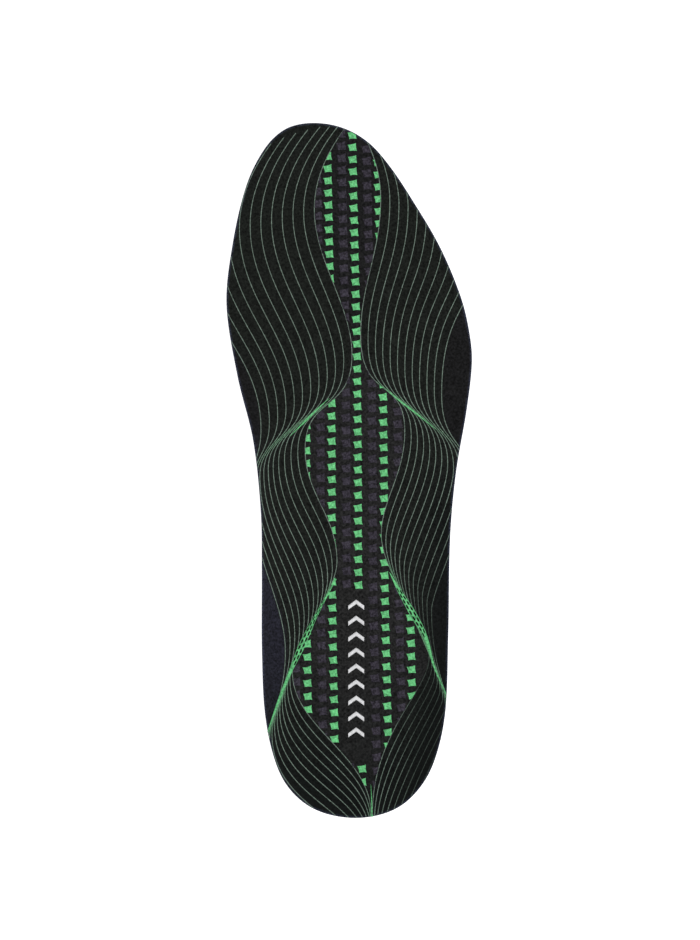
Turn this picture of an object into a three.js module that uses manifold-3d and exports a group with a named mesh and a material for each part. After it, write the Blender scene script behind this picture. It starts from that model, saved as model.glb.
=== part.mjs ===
// Cushioned insole for a right shoe, made as the real laminate is: a printed knit top cover and a
// comfort foam on a moulded foam base, with a stiff arch shell, a heel gel pad and a forefoot gel
// pad set flush into the underside.
//
// Millimetres. +Y points to the toe, +X to the outer (lateral) side of the foot, +Z up. The origin
// is under the centre of the bounding box, on the surface that the insole lies on.
//
// The full-length layers are split at the line where the foot bends, so that the forefoot can hinge.

import * as THREE from 'three';
import { mergeVertices } from 'three/addons/utils/BufferGeometryUtils.js';
import ManifoldLibrary from 'manifold-3d';

const wasm = await ManifoldLibrary();
wasm.setup();

// ---------------------------------------------------------------- driving dimensions

const LENGTH = 280;
const HALF_LENGTH = LENGTH / 2;

const COVER_THICKNESS = 1.0;
const FOAM_THICKNESS = 2.0;
const FOAM_RIM_THICKNESS = 1.0;
const FOAM_RIM_WIDTH = 9;
const BOND_LINE = 0.1;
const EDGE_WALL = 5.0;

const FLEX_LINE_Y = 63;
const FLEX_LINE_SLOPE = Math.tan(THREE.MathUtils.degToRad(12.5));
const FLEX_GAP = 0.3;
const SKEW_START_Y = -30;

const CLEARANCE = 0.3;
const BELOW_UNDERSIDE = 5;
const PRISM_HEIGHT = 60;
const PRISM_DEPTH = 10;
const SHARPEST_CORNER = 0.35;
const WELD_DISTANCE = 1e-6;

const SHELL_THICKNESS = 1.6;
const SHELL_INSET = 4.5;
const SHELL_FRONT_MEDIAL_Y = 14;
const SHELL_FRONT_LATERAL_Y = -14;
const SHELL_FRONT_DIP = 26;
const SHELL_ARM_STEPS = 8;
const SHELL_FRONT_STEPS = 10;

const VENT_COUNT = 4;
const VENT_LENGTH = 30;
const VENT_WIDTH = 4;
const VENT_PITCH = 9;
const VENT_STAGGER = 2;
const VENT_ARC_POINTS = 6;
const VENT_CENTRE = [-9, -34];

const HEEL_CENTRE = [2.3, -104];
const TOE_CENTRE = [-8, 104];

const HEEL_PAD_CENTRE = [2.3, -99];
const HEEL_PAD_RADII = [17, 23];
const HEEL_PAD_THICKNESS = 3.6;

const BALL_PAD_CENTRE = [0.5, 30];
const BALL_PAD_RADII = [37, 19];
const BALL_PAD_THICKNESS = 1.5;
const BALL_PAD_SQUARENESS = 2.6;
const HEEL_PAD_STEPS = 32;
const BALL_PAD_STEPS = 36;

// ---------------------------------------------------------------- plan outline

// Points [y, x] down each edge, from the back of the heel to the tip of the toe.
const MEDIAL_EDGE = [
  [-140, 2.5], [-136.6, -13.7], [-128.1, -24.2], [-117.2, -29.8], [-98, -33.9], [-72, -35.1],
  [-40, -35.1], [-17, -35.5], [11.7, -38.7], [37.5, -45.1], [66, -49.6], [89, -47.5],
  [115, -41.5], [129, -34.6], [135, -29.4], [138.6, -23.4], [140, -14.5],
];
const LATERAL_EDGE = [
  [-140, 2.5], [-136.6, 18.1], [-128.1, 28.2], [-117.2, 34.2], [-98, 38.6], [-66, 39.9],
  [-27, 40.7], [-1.2, 43.1], [24.6, 47.5], [43.9, 49.6], [56.8, 48.3], [69.7, 45.1],
  [89, 37.1], [108.4, 25.8], [121.3, 17.3], [132.5, 7.3], [138.6, -4.4], [140, -14.5],
];

// Lift of the rim above the footbed, and width of the wall that rises to it: [y, mm].
const MEDIAL_LIFT = [
  [-140, 8], [-105, 9], [-65, 11], [-30, 13.5], [0, 10.5], [28, 3.5], [50, 0.8], [70, 0.4], [140, 0.4],
];
const LATERAL_LIFT = [[-140, 8], [-105, 8], [-65, 5.5], [-30, 3], [0, 1.5], [28, 0.7], [50, 0.4], [140, 0.4]];
const MEDIAL_RUN = [[-140, 13], [-105, 14], [-65, 18], [-30, 24], [0, 24], [28, 18], [50, 10], [70, 8], [140, 8]];
const LATERAL_RUN = [[-140, 13], [-65, 13], [-30, 12], [0, 10], [28, 8], [140, 8]];
const BED_HEIGHT = [[-140, 9.5], [-100, 8.5], [-55, 9.5], [-20, 9.4], [20, 7.4], [55, 6], [140, 5.4]];

const WALL_POWER = 2.2;
const CORNER_SOFTNESS = 2;
const OUTLINE_STEPS = 90;

// A smooth curve value(t) through points [t, value], with each slope taken from its neighbours.
function smoothThrough(points) {
  const slopes = points.map((point, i) => {
    const before = points[Math.max(i - 1, 0)];
    const after = points[Math.min(i + 1, points.length - 1)];
    return (after[1] - before[1]) / (after[0] - before[0]);
  });
  return (t) => {
    let i = 0;
    while (i < points.length - 2 && t > points[i + 1][0]) i += 1;
    const span = points[i + 1][0] - points[i][0];
    const s = THREE.MathUtils.clamp((t - points[i][0]) / span, 0, 1);
    const rise = points[i + 1][1] - points[i][1];
    const bend = slopes[i] * span * s * (1 - s) ** 2 - slopes[i + 1] * span * s ** 2 * (1 - s);
    return points[i][1] + rise * s ** 2 * (3 - 2 * s) + bend;
  };
}

// The ends are round, so an edge is smooth in the angle whose cosine runs along the length.
const lengthAngle = (y) => Math.acos(THREE.MathUtils.clamp(-y / HALF_LENGTH, -1, 1));

function edgeCurve(points) {
  const curve = smoothThrough(points.map(([y, x]) => [lengthAngle(y), x]));
  return (y) => curve(lengthAngle(y));
}

const medialEdge = edgeCurve(MEDIAL_EDGE);
const lateralEdge = edgeCurve(LATERAL_EDGE);
const bedHeight = smoothThrough(BED_HEIGHT);
const walls = {
  medial: { edge: medialEdge, lift: smoothThrough(MEDIAL_LIFT), run: smoothThrough(MEDIAL_RUN) },
  lateral: { edge: lateralEdge, lift: smoothThrough(LATERAL_LIFT), run: smoothThrough(LATERAL_RUN) },
};

const outline = Object.values(walls).flatMap((wall) => {
  const points = [];
  for (let i = 0; i <= OUTLINE_STEPS; i += 1) {
    const y = -HALF_LENGTH * Math.cos((Math.PI * i) / OUTLINE_STEPS);
    points.push({ wall, x: wall.edge(y), y });
  }
  return points.slice(1).map((end, i) => ({ wall, start: points[i], end }));
});

// The nearest point of the outline: how far away it is, how far along, and on which side's wall.
function nearestEdge(x, y) {
  let nearest = { distance: Infinity };
  for (const { wall, start, end } of outline) {
    const dx = end.x - start.x;
    const dy = end.y - start.y;
    const along = ((x - start.x) * dx + (y - start.y) * dy) / (dx * dx + dy * dy);
    const s = THREE.MathUtils.clamp(along, 0, 1);
    const distance = Math.hypot(x - start.x - s * dx, y - start.y - s * dy);
    if (distance < nearest.distance) nearest = { distance, wall, y: start.y + s * dy };
  }
  return nearest;
}

// ---------------------------------------------------------------- surfaces

function topHeight(x, y) {
  const edge = nearestEdge(x, y);
  const up = Math.max(0, 1 - edge.distance / edge.wall.run(edge.y));
  return bedHeight(y) + edge.wall.lift(edge.y) * up ** WALL_POWER;
}

// Flat, with a round lower corner as wide as the wall where it is tall and small where it is low.
function undersideHeight(x, y) {
  const edge = nearestEdge(x, y);
  const edgeRise = bedHeight(edge.y) + edge.wall.lift(edge.y) - EDGE_WALL;
  const run = (edge.wall.run(edge.y) * edgeRise) / (edgeRise + CORNER_SOFTNESS);
  const up = Math.max(0, 1 - edge.distance / run);
  return edgeRise * (1 - Math.sqrt(1 - up ** 2));
}

function foamThickness(x, y) {
  const s = Math.min(nearestEdge(x, y).distance / FOAM_RIM_WIDTH, 1);
  return FOAM_RIM_THICKNESS + (FOAM_THICKNESS - FOAM_RIM_THICKNESS) * s * (2 - s);
}

const coverBottom = (x, y) => topHeight(x, y) - COVER_THICKNESS;
const foamTop = (x, y) => coverBottom(x, y) - BOND_LINE;
const foamBottom = (x, y) => foamTop(x, y) - foamThickness(x, y);
const baseTop = (x, y) => foamBottom(x, y) - BOND_LINE;

// ---------------------------------------------------------------- the shared grid

const EDGE_FRACTIONS = [0, 0.04, 0.1, 0.18, 0.29, 0.45, 0.7, 1];
const HEEL_FAN_STEPS = 7;
const REAR_STEPS = 12;
const FRONT_STEPS = 4;
const TOE_FAN_STEPS = 6;
const MEETING_ROUNDS = 20;

function rowBetween(medial, centre, lateral) {
  const from = (start) => EDGE_FRACTIONS.map((f) => [
    start[0] + (centre[0] - start[0]) * f,
    start[1] + (centre[1] - start[1]) * f,
  ]);
  return [...from(medial), ...from(lateral).reverse().slice(1)];
}

// A row that fans out of the round end's centre and meets the outline at y.
const fanRow = (y, centre) => rowBetween([medialEdge(y), y], centre, [lateralEdge(y), y]);

// A straight row whose slope grows to the flex line's and fades again towards the toe.
function strandRow(y) {
  const span = y < FLEX_LINE_Y ? FLEX_LINE_Y - SKEW_START_Y : TOE_CENTRE[1] - FLEX_LINE_Y;
  const fade = THREE.MathUtils.smoothstep(1 - Math.abs(y - FLEX_LINE_Y) / span, 0, 1);
  const slope = Math.abs(y - FLEX_LINE_Y) < FLEX_GAP ? FLEX_LINE_SLOPE : FLEX_LINE_SLOPE * fade;
  const meet = (edge) => {
    let edgeY = y;
    for (let i = 0; i < MEETING_ROUNDS; i += 1) edgeY = y - slope * edge(edgeY);
    return [edge(edgeY), edgeY];
  };
  const medial = meet(medialEdge);
  const lateral = meet(lateralEdge);
  return rowBetween(medial, [(medial[0] + lateral[0]) / 2, (medial[1] + lateral[1]) / 2], lateral);
}

function strandRows(startY, endY, steps) {
  return Array.from({ length: steps + 1 }, (_, i) => strandRow(startY + ((endY - startY) * i) / steps));
}

const heelFan = Array.from({ length: HEEL_FAN_STEPS }, (_, i) => {
  const angle = ((Math.PI / 2) * i) / HEEL_FAN_STEPS;
  return fanRow(HEEL_CENTRE[1] - (HALF_LENGTH + HEEL_CENTRE[1]) * Math.cos(angle), HEEL_CENTRE);
});
const toeFan = Array.from({ length: TOE_FAN_STEPS }, (_, i) => {
  const angle = ((Math.PI / 2) * (i + 1)) / TOE_FAN_STEPS;
  return fanRow(TOE_CENTRE[1] + (HALF_LENGTH - TOE_CENTRE[1]) * Math.sin(angle), TOE_CENTRE);
});
const rearRows = [...heelFan, ...strandRows(HEEL_CENTRE[1], FLEX_LINE_Y - FLEX_GAP / 2, REAR_STEPS)];
const frontRows = [...strandRows(FLEX_LINE_Y + FLEX_GAP / 2, TOE_CENTRE[1], FRONT_STEPS), ...toeFan];

// ---------------------------------------------------------------- solids

// A closed slab over the grid rows, between a bottom and a top height function. A row at a round end
// is folded on itself and needs no wall; a straight end row gets one.
function slab(rows, top, bottom) {
  const raised = (height) => rows.map((row) => row.map(([x, y]) => new THREE.Vector3(x, y, height(x, y))));
  const upper = raised(top);
  const lower = raised(bottom);
  const last = rows[0].length - 1;
  const corners = [];
  const triangle = (a, b, c) => {
    const sides = [a.distanceTo(b), b.distanceTo(c), c.distanceTo(a)];
    if (Math.min(...sides) > WELD_DISTANCE) corners.push(...a, ...b, ...c);
  };
  const quad = (a, b, c, d) => {
    triangle(a, b, c);
    triangle(a, c, d);
  };
  for (let j = 0; j < rows.length - 1; j += 1) {
    for (let k = 0; k < last; k += 1) {
      quad(upper[j][k], upper[j][k + 1], upper[j + 1][k + 1], upper[j + 1][k]);
      quad(lower[j][k], lower[j + 1][k], lower[j + 1][k + 1], lower[j][k + 1]);
    }
    quad(lower[j][0], upper[j][0], upper[j + 1][0], lower[j + 1][0]);
    quad(lower[j][last], lower[j + 1][last], upper[j + 1][last], upper[j][last]);
  }
  for (const [j, isLast] of [[0, false], [rows.length - 1, true]]) {
    const folded = upper[j][0].distanceTo(upper[j][last]) < WELD_DISTANCE;
    for (let k = 0; k < last && !folded; k += 1) {
      const face = [lower[j][k], lower[j][k + 1], upper[j][k + 1], upper[j][k]];
      quad(...(isLast ? face.reverse() : face));
    }
  }
  const geometry = new THREE.BufferGeometry();
  geometry.setAttribute('position', new THREE.Float32BufferAttribute(corners, 3));
  return mergeVertices(geometry);
}

function toSolid(geometry) {
  const bare = geometry.clone();
  bare.deleteAttribute('normal');
  bare.deleteAttribute('uv');
  const merged = mergeVertices(bare);
  return new wasm.Manifold(new wasm.Mesh({
    numProp: 3,
    vertProperties: new Float32Array(merged.attributes.position.array),
    triVerts: new Uint32Array(merged.index.array),
  }));
}

function toGeometry(solid) {
  const mesh = solid.getMesh();
  const geometry = new THREE.BufferGeometry();
  geometry.setAttribute('position', new THREE.BufferAttribute(mesh.vertProperties, 3));
  geometry.setIndex(new THREE.BufferAttribute(mesh.triVerts, 1));
  return geometry;
}

// A closed anticlockwise plan outline whose sides are moved outwards by a distance.
function grown(points, by) {
  const outward = (from, to) => new THREE.Vector2(to[1] - from[1], from[0] - to[0]).normalize();
  return points.map((point, i) => {
    const before = outward(points[(i + points.length - 1) % points.length], point);
    const after = outward(point, points[(i + 1) % points.length]);
    const corner = before.clone().add(after).normalize();
    const reach = by / Math.max(corner.dot(after), SHARPEST_CORNER);
    return [point[0] + corner.x * reach, point[1] + corner.y * reach];
  });
}

// An upright prism through the whole thickness, over an anticlockwise plan outline.
function prism(points) {
  const shape = new THREE.Shape(points.map(([x, y]) => new THREE.Vector2(x, y)));
  const geometry = new THREE.ExtrudeGeometry(shape, { depth: PRISM_HEIGHT, bevelEnabled: false });
  return toSolid(geometry.translate(0, 0, -PRISM_DEPTH));
}

// The part of the insole that lies between its underside and a height above it.
const undersideSkin = (thickness, below = 0) => toSolid(slab(
  rearRows,
  (x, y) => undersideHeight(x, y) + thickness,
  (x, y) => undersideHeight(x, y) - below,
));

// ---------------------------------------------------------------- inserts in the underside

// A closed round outline: squareness 2 is an ellipse, and more is fuller at the corners.
function roundOutline([cx, cy], [rx, ry], squareness, steps) {
  return Array.from({ length: steps }, (_, i) => {
    const angle = (2 * Math.PI * i) / steps;
    const stretch = (value) => Math.sign(value) * Math.abs(value) ** (2 / squareness);
    return [cx + rx * stretch(Math.cos(angle)), cy + ry * stretch(Math.sin(angle))];
  });
}

// The forefoot pad leans with the flex line.
const leaned = (points) => points.map(([x, y]) => [x, y - FLEX_LINE_SLOPE * x]);

const heelPadOutline = roundOutline(HEEL_PAD_CENTRE, HEEL_PAD_RADII, 2, HEEL_PAD_STEPS);
const ballPadOutline = leaned(
  roundOutline(BALL_PAD_CENTRE, BALL_PAD_RADII, BALL_PAD_SQUARENESS, BALL_PAD_STEPS),
);

// The shell runs round the heel inside the rim, and its front edge dips between two arms.
function shellOutline() {
  const inward = (row, k, towards) => {
    const [x, y] = row[k];
    const length = Math.hypot(row[towards][0] - x, row[towards][1] - y);
    const f = SHELL_INSET / length;
    return [x + (row[towards][0] - x) * f, y + (row[towards][1] - y) * f];
  };
  const middle = EDGE_FRACTIONS.length - 1;
  const armRows = (frontY) => [
    ...heelFan,
    ...Array.from({ length: SHELL_ARM_STEPS + 1 }, (_, i) => {
      const y = HEEL_CENTRE[1] + ((frontY - HEEL_CENTRE[1]) * i) / SHELL_ARM_STEPS;
      return rowBetween([medialEdge(y), y], [(medialEdge(y) + lateralEdge(y)) / 2, y], [lateralEdge(y), y]);
    }),
  ];
  const medial = armRows(SHELL_FRONT_MEDIAL_Y).slice(1).map((row) => inward(row, 0, middle));
  const lateral = armRows(SHELL_FRONT_LATERAL_Y).map((row) => inward(row, row.length - 1, middle));
  const start = new THREE.Vector2(...lateral.at(-1));
  const end = new THREE.Vector2(...medial.at(-1));
  const dip = new THREE.Vector2(0, -SHELL_FRONT_DIP);
  const front = new THREE.CubicBezierCurve(
    start,
    start.clone().lerp(end, 0.3).add(dip),
    start.clone().lerp(end, 0.7).add(dip),
    end,
  );
  const between = front.getPoints(SHELL_FRONT_STEPS).slice(1, -1).map((point) => [point.x, point.y]);
  return [...lateral, ...between, ...medial.reverse()];
}

// Slots through the shell under the arch, side by side, shorter towards the outer side.
function ventOutline(index) {
  const centreX = VENT_CENTRE[0] + VENT_PITCH * index;
  const centreY = VENT_CENTRE[1] - VENT_STAGGER * index;
  const straight = (VENT_LENGTH - VENT_WIDTH) / 2 - VENT_STAGGER * index;
  const endArc = (side) => Array.from({ length: VENT_ARC_POINTS }, (_, i) => {
    const angle = (Math.PI * i) / (VENT_ARC_POINTS - 1);
    return [
      centreX + side * (VENT_WIDTH / 2) * Math.cos(angle),
      centreY + side * (straight + (VENT_WIDTH / 2) * Math.sin(angle)),
    ];
  });
  return [...endArc(1), ...endArc(-1)];
}

const shellPlan = shellOutline();
const shellSolid = Array.from({ length: VENT_COUNT }, (_, i) => prism(ventOutline(i))).reduce(
  (solid, vent) => solid.subtract(vent),
  undersideSkin(SHELL_THICKNESS).intersect(prism(shellPlan)).subtract(prism(grown(heelPadOutline, CLEARANCE))),
);
const heelPadSolid = undersideSkin(HEEL_PAD_THICKNESS).intersect(prism(heelPadOutline));
const ballPadSolid = undersideSkin(BALL_PAD_THICKNESS).intersect(prism(ballPadOutline));

// The room that an insert needs in the foam base: its own shape, grown by the clearance.
function recess(plan, thickness) {
  return undersideSkin(thickness + CLEARANCE, BELOW_UNDERSIDE).intersect(prism(grown(plan, CLEARANCE)));
}

const baseRearSolid = toSolid(slab(rearRows, baseTop, undersideHeight))
  .subtract(recess(shellPlan, SHELL_THICKNESS))
  .subtract(recess(heelPadOutline, HEEL_PAD_THICKNESS))
  .subtract(recess(ballPadOutline, BALL_PAD_THICKNESS));

// ---------------------------------------------------------------- materials and assembly

const finish = (color, roughness, metalness = 0) => new THREE.MeshStandardMaterial({ color, roughness, metalness });

const KNIT = () => finish('#1f1f1f', 0.95);
const COMFORT_FOAM = () => finish('#23262b', 0.9);
const BASE_FOAM = () => finish('#1c1c1f', 0.85);
const SHELL_PLASTIC = () => finish('#17181a', 0.45);
const GEL = () => finish('#3f9c56', 0.35);

const insole = new THREE.Group();

function addPiece(name, geometry, material) {
  const mesh = new THREE.Mesh(geometry, material);
  mesh.name = name;
  insole.add(mesh);
}

addPiece('top_cover_rear', slab(rearRows, topHeight, coverBottom), KNIT());
addPiece('top_cover_front', slab(frontRows, topHeight, coverBottom), KNIT());
addPiece('comfort_foam_rear', slab(rearRows, foamTop, foamBottom), COMFORT_FOAM());
addPiece('comfort_foam_front', slab(frontRows, foamTop, foamBottom), COMFORT_FOAM());
addPiece('foam_base_rear', toGeometry(baseRearSolid), BASE_FOAM());
addPiece('foam_base_front', slab(frontRows, baseTop, undersideHeight), BASE_FOAM());
addPiece('arch_shell', toGeometry(shellSolid), SHELL_PLASTIC());
addPiece('heel_gel_pad', toGeometry(heelPadSolid), GEL());
addPiece('forefoot_gel_pad', toGeometry(ballPadSolid), GEL());

export default insole;
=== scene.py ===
"""Looks of the cushioned insole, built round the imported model.

Shapes are worked out in millimetres, in the model's own frame: +Y to the toe, +X to the outer side of
the foot, +Z up, with the underside on z = 0. new_piece() turns them into metres.
"""

import math

import bpy
import numpy as np
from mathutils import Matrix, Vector


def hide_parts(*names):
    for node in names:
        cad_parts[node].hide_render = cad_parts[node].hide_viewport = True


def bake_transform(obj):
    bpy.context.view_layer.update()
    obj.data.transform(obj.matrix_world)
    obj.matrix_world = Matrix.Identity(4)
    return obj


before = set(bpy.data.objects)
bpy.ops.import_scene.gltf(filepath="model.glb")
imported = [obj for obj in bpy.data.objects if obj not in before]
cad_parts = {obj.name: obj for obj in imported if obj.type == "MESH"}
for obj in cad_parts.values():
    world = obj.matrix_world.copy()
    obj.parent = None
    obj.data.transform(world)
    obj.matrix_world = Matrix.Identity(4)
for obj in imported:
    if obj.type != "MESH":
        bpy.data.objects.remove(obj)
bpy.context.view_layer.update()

MM = 0.001

# ------------------------------------------------------------------ driving sizes, in mm

HALF_LENGTH = 140.0
COVER_THICKNESS = 1.0
FOAM_THICKNESS = 2.0
FOAM_RIM_THICKNESS = 1.0
FOAM_RIM_WIDTH = 9.0
BOND_LINE = 0.1
EDGE_WALL = 5.0
WALL_POWER = 2.2
CORNER_SOFTNESS = 2.0

# Where the rows of the mesh fan out, at the heel and at the toe.
HEEL_CENTRE = (2.3, -104.0)
TOE_CENTRE = (-8.0, 104.0)

# The slant of the line across the ball that the insole bends at.
FLEX_ANGLE = math.radians(12.5)

# Points (y, x) down each edge, from the back of the heel to the tip of the toe.
MEDIAL_EDGE = [
    (-140, 2.5), (-136.6, -13.7), (-128.1, -24.2), (-117.2, -29.8), (-98, -33.9), (-72, -35.1),
    (-40, -35.1), (-17, -35.5), (11.7, -38.7), (37.5, -45.1), (66, -49.6), (89, -47.5),
    (115, -41.5), (129, -34.6), (135, -29.4), (138.6, -23.4), (140, -14.5),
]
LATERAL_EDGE = [
    (-140, 2.5), (-136.6, 18.1), (-128.1, 28.2), (-117.2, 34.2), (-98, 38.6), (-66, 39.9),
    (-27, 40.7), (-1.2, 43.1), (24.6, 47.5), (43.9, 49.6), (56.8, 48.3), (69.7, 45.1),
    (89, 37.1), (108.4, 25.8), (121.3, 17.3), (132.5, 7.3), (138.6, -4.4), (140, -14.5),
]

# Lift of the rim above the footbed, and width of the wall that rises to it: (y, mm).
MEDIAL_LIFT = [
    (-140, 8), (-105, 9), (-65, 11), (-30, 13.5), (0, 10.5), (28, 3.5), (50, 0.8), (70, 0.4), (140, 0.4),
]
LATERAL_LIFT = [(-140, 8), (-105, 8), (-65, 5.5), (-30, 3), (0, 1.5), (28, 0.7), (50, 0.4), (140, 0.4)]
MEDIAL_RUN = [(-140, 13), (-105, 14), (-65, 18), (-30, 24), (0, 24), (28, 18), (50, 10), (70, 8), (140, 8)]
LATERAL_RUN = [(-140, 13), (-65, 13), (-30, 12), (0, 10), (28, 8), (140, 8)]
BED_HEIGHT = [(-140, 9.5), (-100, 8.5), (-55, 9.5), (-20, 9.4), (20, 7.4), (55, 6), (140, 5.4)]

# How far the edge of each full-length layer is set in and rounded off, and how far its wall bulges.
COVER_EDGE = {"inset": 0.05, "top_radius": 0.35, "bottom_radius": 0.15, "bulge": 0.0}
COMFORT_EDGE = {"inset": 0.3, "top_radius": 0.15, "bottom_radius": 0.15, "bulge": 0.15}
BASE_EDGE = {"inset": 0.1, "top_radius": 0.3, "bottom_radius": 0.4, "bulge": 0.1}

# The print: a piece stands this proud of the knit, and its skirt goes this far into it.
INK_HEIGHT = 0.045
INK_SINK = 0.03


# ------------------------------------------------------------------ outline and surfaces


def smooth_through(points):
    """A smooth curve value(t) through points (t, value), with each slope taken from its neighbours."""
    t_at, value_at = (np.array(column, float) for column in zip(*points))
    before = np.maximum(np.arange(len(points)) - 1, 0)
    after = np.minimum(np.arange(len(points)) + 1, len(points) - 1)
    slope_at = (value_at[after] - value_at[before]) / (t_at[after] - t_at[before])

    def curve(t):
        i = np.clip(np.searchsorted(t_at, t) - 1, 0, len(points) - 2)
        span = t_at[i + 1] - t_at[i]
        s = np.clip((t - t_at[i]) / span, 0, 1)
        rise = value_at[i + 1] - value_at[i]
        bend = slope_at[i] * span * s * (1 - s) ** 2 - slope_at[i + 1] * span * s**2 * (1 - s)
        return value_at[i] + rise * s**2 * (3 - 2 * s) + bend

    return curve


def length_angle(y):
    """The ends are round, so an edge is smooth in the angle whose cosine runs along the length."""
    return np.arccos(np.clip(-np.asarray(y, float) / HALF_LENGTH, -1, 1))


def edge_curve(points):
    """An edge of the outline as a function x(y)."""
    curve = smooth_through([(float(length_angle(y)), x) for y, x in points])
    return lambda y: curve(length_angle(y))


medial_edge = edge_curve(MEDIAL_EDGE)
lateral_edge = edge_curve(LATERAL_EDGE)
medial_lift = smooth_through(MEDIAL_LIFT)
lateral_lift = smooth_through(LATERAL_LIFT)
medial_run = smooth_through(MEDIAL_RUN)
lateral_run = smooth_through(LATERAL_RUN)
bed_height = smooth_through(BED_HEIGHT)
OUTLINE_STEPS = 150
POINTS_AT_ONCE = 4000


def distance_to(points, line):
    """Each point's distance to an open polyline, and how far along the line it is nearest, in steps."""
    start = line[:-1]
    step = np.diff(line, axis=0)
    step_squared = (step**2).sum(1)
    distance = np.empty(len(points))
    along = np.empty(len(points))
    for first in range(0, len(points), POINTS_AT_ONCE):
        part = slice(first, first + POINTS_AT_ONCE)
        to_start = points[part, None, :] - start[None]
        s = np.clip((to_start * step).sum(2) / step_squared, 0, 1)
        gap = np.sqrt(((to_start - s[..., None] * step) ** 2).sum(2))
        nearest = gap.argmin(1)
        row = np.arange(len(nearest))
        distance[part] = gap[row, nearest]
        along[part] = nearest + s[row, nearest]
    return distance, along


outline_y = -HALF_LENGTH * np.cos(np.linspace(0, math.pi, OUTLINE_STEPS + 1))
medial_outline = np.column_stack([medial_edge(outline_y), outline_y])
lateral_outline = np.column_stack([lateral_edge(outline_y), outline_y])


class Plan:
    """Plan points, with the surface heights over them."""

    def __init__(self, points):
        self.points = np.asarray(points, float).reshape(-1, 2)
        medial_distance, medial_along = distance_to(self.points, medial_outline)
        lateral_distance, lateral_along = distance_to(self.points, lateral_outline)
        medial = medial_distance <= lateral_distance
        self.edge_distance = np.where(medial, medial_distance, lateral_distance)
        along = np.where(medial, medial_along, lateral_along)
        edge_y = np.interp(along, np.arange(OUTLINE_STEPS + 1), outline_y)
        lift = np.where(medial, medial_lift(edge_y), lateral_lift(edge_y))
        run = np.where(medial, medial_run(edge_y), lateral_run(edge_y))
        up = np.clip(1 - self.edge_distance / run, 0, 1)
        self.top = bed_height(self.points[:, 1]) + lift * up**WALL_POWER
        edge_rise = bed_height(edge_y) + lift - EDGE_WALL
        corner_run = run * edge_rise / (edge_rise + CORNER_SOFTNESS)
        up = np.clip(1 - self.edge_distance / corner_run, 0, 1)
        self.underside = edge_rise * (1 - np.sqrt(1 - up**2))
        share = np.clip(self.edge_distance / FOAM_RIM_WIDTH, 0, 1)
        foam = FOAM_RIM_THICKNESS + (FOAM_THICKNESS - FOAM_RIM_THICKNESS) * share * (2 - share)
        self.cover_bottom = self.top - COVER_THICKNESS
        self.foam_top = self.cover_bottom - BOND_LINE
        self.foam_bottom = self.foam_top - foam
        self.base_top = self.foam_bottom - BOND_LINE

    def inside(self):
        """Whether each point is within the outline."""
        x, y = self.points.T
        return (x > medial_edge(y)) & (x < lateral_edge(y)) & (np.abs(y) < HALF_LENGTH)


# ------------------------------------------------------------------ meshes

WELD = 1e-4
BAR_CORNERS = 4


def new_piece(name, vertices, faces, attributes=None):
    """A piece from vertices in mm and faces of vertex numbers, with coincident vertices welded."""
    vertices = np.asarray(vertices, float)
    _, kept, number = np.unique(
        np.round(vertices / WELD).astype(np.int64), axis=0, return_index=True, return_inverse=True
    )
    number = number.reshape(-1)
    clean = []
    for face in faces:
        corners = [int(number[i]) for i in face]
        corners = [c for i, c in enumerate(corners) if c != corners[i - 1]]
        if len(set(corners)) == len(corners) >= 3:
            clean.append(corners)
    mesh = bpy.data.meshes.new(name)
    mesh.from_pydata((vertices[kept] * MM).tolist(), [], clean)
    for key, values in (attributes or {}).items():
        layer = mesh.attributes.new(key, "FLOAT", "POINT")
        layer.data.foreach_set("value", np.asarray(values, np.float32)[kept])
    mesh.shade_smooth()
    mesh.update()
    piece = bpy.data.objects.new(name, mesh)
    bpy.context.scene.collection.objects.link(piece)
    return piece


def loft(loops):
    """Faces between closed loops of equal length, given as an array of rings of vertex numbers."""
    rings, count = loops.shape
    here, there = loops[:-1], loops[1:]
    quads = np.stack([here, np.roll(here, -1, 1), np.roll(there, -1, 1), there], axis=2)
    return quads.reshape((rings - 1) * count, 4).tolist()


def flipped(faces):
    """The same faces, turned to face the other way."""
    return [face[::-1] for face in faces]


def bar(rings):
    """A closed bar through rings of four corners, given as rings x corners x 3: vertices and faces."""
    numbers = np.arange(rings.shape[0] * BAR_CORNERS).reshape(-1, BAR_CORNERS)
    faces = loft(numbers) + [numbers[0][::-1].tolist(), numbers[-1].tolist()]
    return rings.reshape(-1, 3), faces


def ramp(value, start, run):
    """0 up to the start, then rising to 1 over the run. A negative run rises the other way."""
    return np.clip((value - start) / run, 0, 1)


def bezier(a, b, c, d, steps):
    """Points along a cubic curve from a to d, drawn towards b and c on its way."""
    t = np.linspace(0, 1, steps + 1)[:, None]
    return a * (1 - t) ** 3 + 3 * b * t * (1 - t) ** 2 + 3 * c * t**2 * (1 - t) + d * t**3


def quarter_drop(distance, radius):
    """How far a rounded edge has fallen, at a distance inside it."""
    up = np.clip(1 - distance / radius, 0, 1)
    return radius * (1 - np.sqrt(1 - up**2))


# ------------------------------------------------------------------ full-length layers

EDGE_SAMPLES = np.array([0, 0.06, 0.15, 0.3, 0.5, 0.75, 1.1, 1.6, 2.2, 3.0, 3.9, 4.9, 6.0])
INNER_STEPS = 24
FAN_ROWS = 26
FAN_ANGLES = np.linspace(0, math.pi / 2, FAN_ROWS, endpoint=False)
STRAND_ROWS = 150
WALL_SAMPLES = 5


def heel_row_y():
    """Where the rows of the heel fan end on the outline."""
    return HEEL_CENTRE[1] - (HALF_LENGTH + HEEL_CENTRE[1]) * np.cos(FAN_ANGLES)


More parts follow.
